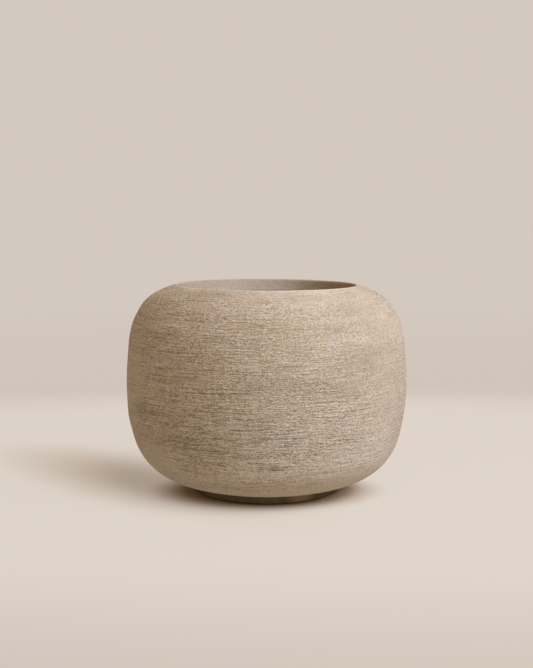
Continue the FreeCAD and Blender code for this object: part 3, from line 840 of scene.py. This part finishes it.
class Finish:
    """A node material under construction, with short ways to add and join its nodes."""

    def __init__(self, name):
        self.material = bpy.data.materials.new(name)
        self.material.use_nodes = True
        self.tree = self.material.node_tree
        self.shader = self.tree.nodes["Principled BSDF"]

    def add(self, kind, inputs=(), **settings):
        """A node with its settings, and its inputs given by name or number as values or other sockets."""
        node = self.tree.nodes.new(kind)
        for key, value in settings.items():
            setattr(node, key, value)
        for key, value in dict(inputs).items():
            if isinstance(value, bpy.types.NodeSocket):
                self.tree.links.new(value, node.inputs[key])
            else:
                node.inputs[key].default_value = value
        return node

    def where(self, attribute=None):
        """The surface's own coordinates: the object's, or a named attribute."""
        if attribute:
            return self.add("ShaderNodeAttribute", attribute_name=attribute).outputs["Vector"]
        return self.add("ShaderNodeTexCoord").outputs["Object"]

    def value(self, attribute):
        """A named attribute's number."""
        return self.add("ShaderNodeAttribute", attribute_name=attribute).outputs["Fac"]

    def stretch(self, vector, scale, turn=(0, 0, 0)):
        """Coordinates scaled and turned."""
        node = self.add("ShaderNodeMapping", {"Vector": vector, "Scale": scale, "Rotation": turn})
        return node.outputs["Vector"]

    def grain(self, vector, scale, detail=2.0, rough=0.5, bend=0.0):
        """Noise from 0 to 1."""
        node = self.add(
            "ShaderNodeTexNoise",
            {"Vector": vector, "Scale": scale, "Detail": detail, "Roughness": rough, "Distortion": bend},
        )
        return node.outputs["Fac"]

    def between(self, value, low, high, start=0.0, stop=1.0):
        """A value spread from one range to another, held at the ends."""
        node = self.add(
            "ShaderNodeMapRange",
            {"Value": value, "From Min": low, "From Max": high, "To Min": start, "To Max": stop},
        )
        return node.outputs["Result"]

    def sum(self, first, second, operation="ADD"):
        """Two values joined by arithmetic."""
        return self.add("ShaderNodeMath", {0: first, 1: second}, operation=operation).outputs[0]

    def blend(self, share_, first, second):
        """Two colours mixed by a share."""
        node = self.add("ShaderNodeMix", data_type="RGBA", clamp_result=True)
        for socket, value in ((node.inputs[0], share_), (node.inputs[6], first), (node.inputs[7], second)):
            if isinstance(value, bpy.types.NodeSocket):
                self.tree.links.new(value, socket)
            elif socket.type == "RGBA":
                socket.default_value = (*value, 1)
            else:
                socket.default_value = value
        return node.outputs[2]

    def bump(self, height, distance, strength=1.0, below=None):
        """A bump on top of another."""
        inputs = {"Height": height, "Distance": distance, "Strength": strength}
        if below:
            inputs["Normal"] = below
        return self.add("ShaderNodeBump", inputs).outputs["Normal"]

    def streaks(self, place, around, up, turn, detail):
        """Level scratches: noise drawn out round the wall, from 0 to 1."""
        return self.grain(self.stretch(place, (around, around, up), turn), 1.0, detail, 0.5, 0.2)

    def oval(self, place, oval, within, beyond):
        """A value that goes softly from one number within an oval to another beyond it."""
        middle, turn, width, start, stop = oval
        shape = {"Location": middle, "Rotation": (0, 0, math.radians(turn)), "Scale": (width, 1, 1)}
        spread = self.add("ShaderNodeMapping", {"Vector": place, **shape}, vector_type="TEXTURE")
        reach = self.add("ShaderNodeVectorMath", {0: spread.outputs[0]}, operation="LENGTH").outputs["Value"]
        ends = {"Value": reach, "From Min": start, "From Max": stop, "To Min": within, "To Max": beyond}
        return self.add("ShaderNodeMapRange", ends, interpolation_type="SMOOTHSTEP").outputs["Result"]

    def finish(self, colour_=None, roughness=None, normal=None, level=0.5):
        """Wires the surface up and returns the material."""
        for name, value in (("Base Color", colour_), ("Roughness", roughness), ("Normal", normal)):
            if isinstance(value, bpy.types.NodeSocket):
                self.tree.links.new(value, self.shader.inputs[name])
            elif value is not None:
                self.shader.inputs[name].default_value = value
        self.shader.inputs["Specular IOR Level"].default_value = level
        return self.material


def times(tint, factor):
    """A colour made lighter or darker."""
    return tuple(part * factor for part in tint)


def combed_stone(stone):
    """The vessel's cast stone: clouded, sandy, and combed in short level strokes."""
    paint = Finish("combed_stone")
    place = paint.where("pattern")
    combed, relief, tone_shift = paint.value("combed"), paint.value("relief"), paint.value("stain")

    clouds = paint.grain(paint.stretch(place, (1, 1, 1.5)), 21, 1.5, 0.5)
    tone = paint.blend(paint.between(clouds, 0.42, 0.62), stone.olive, stone.body)
    rosy = paint.grain(paint.stretch(place, (1, 1, 1.4), (0.3, 0.2, 0)), 15, 2, 0.5)
    tone = paint.blend(paint.between(rosy, 0.52, 0.68, 0, 0.7), tone, stone.rosy)
    for scale, turn, strength, tint in (
        ((55, 55, 95), (0, 0, 0), 0.65, stone.amber),
        ((90, 90, 150), (0.4, 0.3, 0), 1.0, stone.rosy),
    ):
        flecks = paint.grain(paint.stretch(place, scale, turn), 1.0, 1, 0.6)
        tone = paint.blend(paint.between(flecks, 0.36, 0.64, 0, strength), tone, tint)
    # Darker for brown smudges and painted shade, paler for lime bloom and painted light
    tone = paint.blend(paint.between(tone_shift, 0, -1.3), tone, stone.smudge_and_shade)
    tone = paint.blend(paint.between(tone_shift, 0, 1.3), tone, stone.bloom)

    # Fine level scratches, longer lines that are deepest where rare ones cross them, and sand over all
    fine = paint.streaks(place, 120, 450, (0.006, -0.004, 0), 1)
    scratches = paint.sum(paint.sum(fine, 0.5, "SUBTRACT"), combed, "MULTIPLY")
    longer = paint.streaks(place, 24, 450, (-0.004, 0.006, 0), 1)
    rare = paint.streaks(place, 7, 430, (0.003, 0.003, 0), 0.5)
    longer = paint.sum(longer, paint.between(rare, 0.40, 0.27, 0.5, 0.72), "SUBTRACT")
    lines = paint.sum(longer, combed, "MULTIPLY")
    sand = paint.grain(paint.stretch(place, (480, 480, 680)), 1.0, 1.5, 0.65)
    sandier = paint.between(combed, 0, 1.4, 0.75, 1.25)
    grit = paint.sum(paint.sum(sand, 0.5, "SUBTRACT"), sandier, "MULTIPLY")

    # Dark in the hollows and pale on the ridges of them all together, partly dust and wear and partly
    # painted shade in the hollows and painted highlight on the ridges
    height = paint.sum(relief, 0.38, "MULTIPLY")
    for layer, weight in ((scratches, 1.3), (lines, 1.1), (grit, 3.3)):
        height = paint.sum(height, paint.sum(layer, weight, "MULTIPLY"))
    tone = paint.blend(paint.between(height, 0, -0.74, 0, 1), tone, stone.groove)
    tone = paint.blend(paint.between(height, 0, 0.88, 0, 1), tone, stone.ridge)

    normal = paint.bump(scratches, 2.0 * MM, 1.0)
    normal = paint.bump(lines, 1.6 * MM, 1.0, normal)
    normal = paint.bump(grit, 1.2 * MM, 1.0, normal)
    coarse = paint.grain(place, 240, 2, 0.6)
    return paint.finish(tone, paint.between(coarse, 0.3, 0.7, 0.82, 0.96), normal, 0.3)


def foot_stone(stone):
    """The foot's stone, cast smooth and a little sandy, dark with painted shade and with a painted highlight
    on its right.
    """
    paint = Finish("foot_stone")
    place = paint.where()
    clouds = paint.grain(place, 30, 3, 0.6)
    tone = paint.blend(paint.between(clouds, 0.35, 0.65), times(stone.foot, 0.72), stone.foot)
    sand = paint.grain(place, 520, 2, 0.65)
    tone = paint.blend(paint.between(sand, 0.55, 0.75, 0, 0.35), tone, stone.body)
    # Painted highlight: a paler patch on the foot's right, where the side light falls
    tone = paint.blend(paint.oval(place, FOOT_HIGHLIGHT_OVAL, 1, 0), tone, times(stone.foot, 1.8))
    coarse = paint.grain(place, 190, 2, 0.6)
    normal = paint.bump(coarse, 0.5 * MM, 0.5)
    normal = paint.bump(sand, 0.3 * MM, 0.6, normal)
    return paint.finish(tone, paint.between(coarse, 0.3, 0.7, 0.84, 0.96), normal, 0.3)


def mortar(stone):
    """The grey bed of mortar that holds the foot."""
    paint = Finish("mortar")
    place = paint.where()
    clouds = paint.grain(place, 60, 3, 0.6)
    tone = paint.blend(paint.between(clouds, 0.35, 0.65), times(stone.mortar, 0.75), stone.mortar)
    grit = paint.grain(place, 800, 2, 0.7)
    normal = paint.bump(grit, 0.3 * MM, 0.8)
    return paint.finish(tone, paint.between(grit, 0.3, 0.7, 0.86, 0.97), normal, 0.25)


def rubber(name, tint):
    """Moulded rubber with a faint bloom and a fine matt grain."""
    paint = Finish(name)
    place = paint.where()
    bloom = paint.grain(place, 70, 4, 0.6)
    pale = tuple(part * 1.9 + 0.01 for part in tint)
    tone = paint.blend(paint.between(bloom, 0.5, 0.8, 0, 0.6), tint, pale)
    grain = paint.grain(place, 1500, 2, 0.5)
    normal = paint.bump(grain, 0.08 * MM, 0.5)
    return paint.finish(tone, paint.between(bloom, 0.35, 0.7, 0.5, 0.68), normal, 0.45)


# Studio


def add_floor(stage):
    """A wide floor that is lit near the planter, evenly bright round it and backdrop further off."""
    paint = Finish("studio_floor")
    place = paint.where()
    near = paint.oval(place, LIT_OVAL, 0, stage.glow_share)
    shadow = paint.oval(place, SHADOW_OVAL, 1 - stage.shadow_share, 1)
    far = paint.oval(place, STUDIO_OVAL, 0, 1)
    furthest = paint.oval(place, FAR_OVAL, 0, 1)
    dim = paint.blend(furthest, tuple(stage.far_floor), tuple(stage.backdrop))
    even = paint.blend(far, tuple(stage.floor_glow), dim)
    glow = paint.add("ShaderNodeEmission", {"Color": even, "Strength": 1.0})
    evenness = paint.sum(paint.sum(near, shadow, "MULTIPLY"), far, "MAXIMUM")
    paint.finish((*stage.floor, 1), 0.9, level=0.1)
    lit = paint.shader.outputs[0]
    mixed = paint.add("ShaderNodeMixShader", {0: evenness, 1: lit, 2: glow.outputs[0]})
    output = paint.tree.nodes["Material Output"]
    paint.tree.links.new(mixed.outputs[0], output.inputs["Surface"])
    bm = bmesh.new()
    bmesh.ops.create_circle(bm, cap_ends=True, segments=96, radius=stage.floor_radius)
    new_object("studio_floor", bm, paint.material)


def add_soft_light(stage, side):
    """A large square light, from the side or the front, that looks at the planter's middle."""
    name = side + "_light"
    azimuth, elevation = getattr(stage, side + "_azimuth"), getattr(stage, side + "_elevation")
    data = bpy.data.lights.new(name, "AREA")
    data.shape = "SQUARE"
    data.size = stage.light_size
    data.energy = getattr(stage, side + "_watts")
    data.color = getattr(stage, name)
    light = bpy.data.objects.new(name, data)
    level = math.cos(elevation)
    way = Vector((math.cos(azimuth) * level, -math.sin(azimuth) * level, math.sin(elevation)))
    light.location = way * stage.light_distance + Vector((0, 0, (VESSEL_LOW.z + VESSEL_HIGH.z) / 2))
    light.rotation_euler = way.to_track_quat("Z", "Y").to_euler()
    bpy.context.scene.collection.objects.link(light)


def add_lights(stage):
    """A soft light from the right, a second from above the front, and warm light from all round."""
    for side in ("side", "front"):
        add_soft_light(stage, side)

    world = bpy.data.worlds.new("studio")
    world.use_nodes = True
    tree = world.node_tree
    lit = tree.nodes["Background"]
    lit.inputs["Color"].default_value = (*stage.fill, 1)
    lit.inputs["Strength"].default_value = stage.fill_strength
    seen = tree.nodes.new("ShaderNodeBackground")
    seen.inputs["Color"].default_value = (*stage.backdrop, 1)
    path = tree.nodes.new("ShaderNodeLightPath")
    mixed = tree.nodes.new("ShaderNodeMixShader")
    tree.links.new(path.outputs["Is Camera Ray"], mixed.inputs[0])
    tree.links.new(lit.outputs[0], mixed.inputs[1])
    tree.links.new(seen.outputs[0], mixed.inputs[2])
    tree.links.new(mixed.outputs[0], tree.nodes["World Output"].inputs["Surface"])
    bpy.context.scene.world = world


def add_camera(stage):
    """The camera, a little above the mouth and looking slightly down."""
    data = bpy.data.cameras.new("camera")
    data.lens = stage.camera_lens
    camera = bpy.data.objects.new("camera", data)
    camera.location = (0, -stage.camera_distance, stage.camera_height)
    camera.rotation_euler = (math.pi / 2 - stage.camera_pitch, 0, 0)
    bpy.context.scene.collection.objects.link(camera)
    bpy.context.scene.camera = camera


# Operators


class PLANTER_OT_vessel(bpy.types.Operator):
    """Build the combed stone vessel"""

    bl_idname = "planter.vessel"
    bl_label = "Build Vessel"

    def execute(self, context):
        vessel = context.scene.planter_vessel
        bm = bmesh.new()
        outside_end, whole = draw_vessel(bm, vessel, context.scene.planter_foot)
        turn_round(bm, vessel.columns)
        keep_creases(bm)
        material = combed_stone(context.scene.planter_stone)
        piece = add_piece("vessel", bm, material, "planter", "vessel_shell")
        dress_wall(piece.data, vessel, outside_end, whole)
        return {"FINISHED"}


class PLANTER_OT_foot(bpy.types.Operator):
    """Build the foot ring and the bed of mortar over it"""

    bl_idname = "planter.foot"
    bl_label = "Build Foot"

    def execute(self, context):
        stone, foot = context.scene.planter_stone, context.scene.planter_foot
        ring, bed = build_foot_ring(foot), build_mortar(foot)
        add_piece("foot", ring, foot_stone(stone), "planter", "foot_ring")
        add_piece("mortar_bed", bed, mortar(stone), "planter", "foot_bond")
        return {"FINISHED"}


class PLANTER_OT_rubber(bpy.types.Operator):
    """Build the drain plug and the floor pads"""

    bl_idname = "planter.rubber"
    bl_label = "Build Rubber Pieces"

    def execute(self, context):
        parts = context.scene.planter_rubber
        plug = build_plug(parts, context.scene.planter_vessel)
        material = rubber("plug_rubber", tuple(parts.plug))
        add_piece("plug", plug, material, "plug", "drain_plug")
        material = rubber("pad_rubber", tuple(parts.pad))
        for name in PAD_NODES:
            add_piece("rubber_" + name, build_pad(name, parts), material, "planter", name)
        return {"FINISHED"}


class PLANTER_OT_stage(bpy.types.Operator):
    """Set the floor, the lights and the camera"""

    bl_idname = "planter.stage"
    bl_label = "Set Stage"

    def execute(self, context):
        stage = context.scene.planter_stage
        add_floor(stage)
        add_lights(stage)
        add_camera(stage)
        context.scene.view_settings.view_transform = "Standard"
        return {"FINISHED"}


class PLANTER_PT_panel(bpy.types.Panel):
    """The planter's steps in the sidebar"""

    bl_idname = "PLANTER_PT_panel"
    bl_label = "Stone Planter"
    bl_space_type = "VIEW_3D"
    bl_region_type = "UI"
    bl_category = "Planter"

    def draw(self, context):
        for operator in OPERATORS:
            self.layout.operator(operator.bl_idname)


SETTINGS = {
    "planter_vessel": PlanterVesselSettings,
    "planter_foot": PlanterFootSettings,
    "planter_stone": PlanterStoneSettings,
    "planter_rubber": PlanterRubberSettings,
    "planter_stage": PlanterStageSettings,
}
OPERATORS = (PLANTER_OT_vessel, PLANTER_OT_foot, PLANTER_OT_rubber, PLANTER_OT_stage)


def register():
    for group in SETTINGS.values():
        bpy.utils.register_class(group)
    for name, group in SETTINGS.items():
        setattr(bpy.types.Scene, name, bpy.props.PointerProperty(type=group))
    for operator in OPERATORS:
        bpy.utils.register_class(operator)
    bpy.utils.register_class(PLANTER_PT_panel)


def unregister():
    bpy.utils.unregister_class(PLANTER_PT_panel)
    for operator in reversed(OPERATORS):
        bpy.utils.unregister_class(operator)
    for name, group in reversed(SETTINGS.items()):
        delattr(bpy.types.Scene, name)
        bpy.utils.unregister_class(group)


def main():
    """Builds everything in order."""
    register()
    bpy.ops.planter.vessel()
    bpy.ops.planter.foot()
    bpy.ops.planter.rubber()
    bpy.ops.planter.stage()


if __name__ == "__main__":
    main()
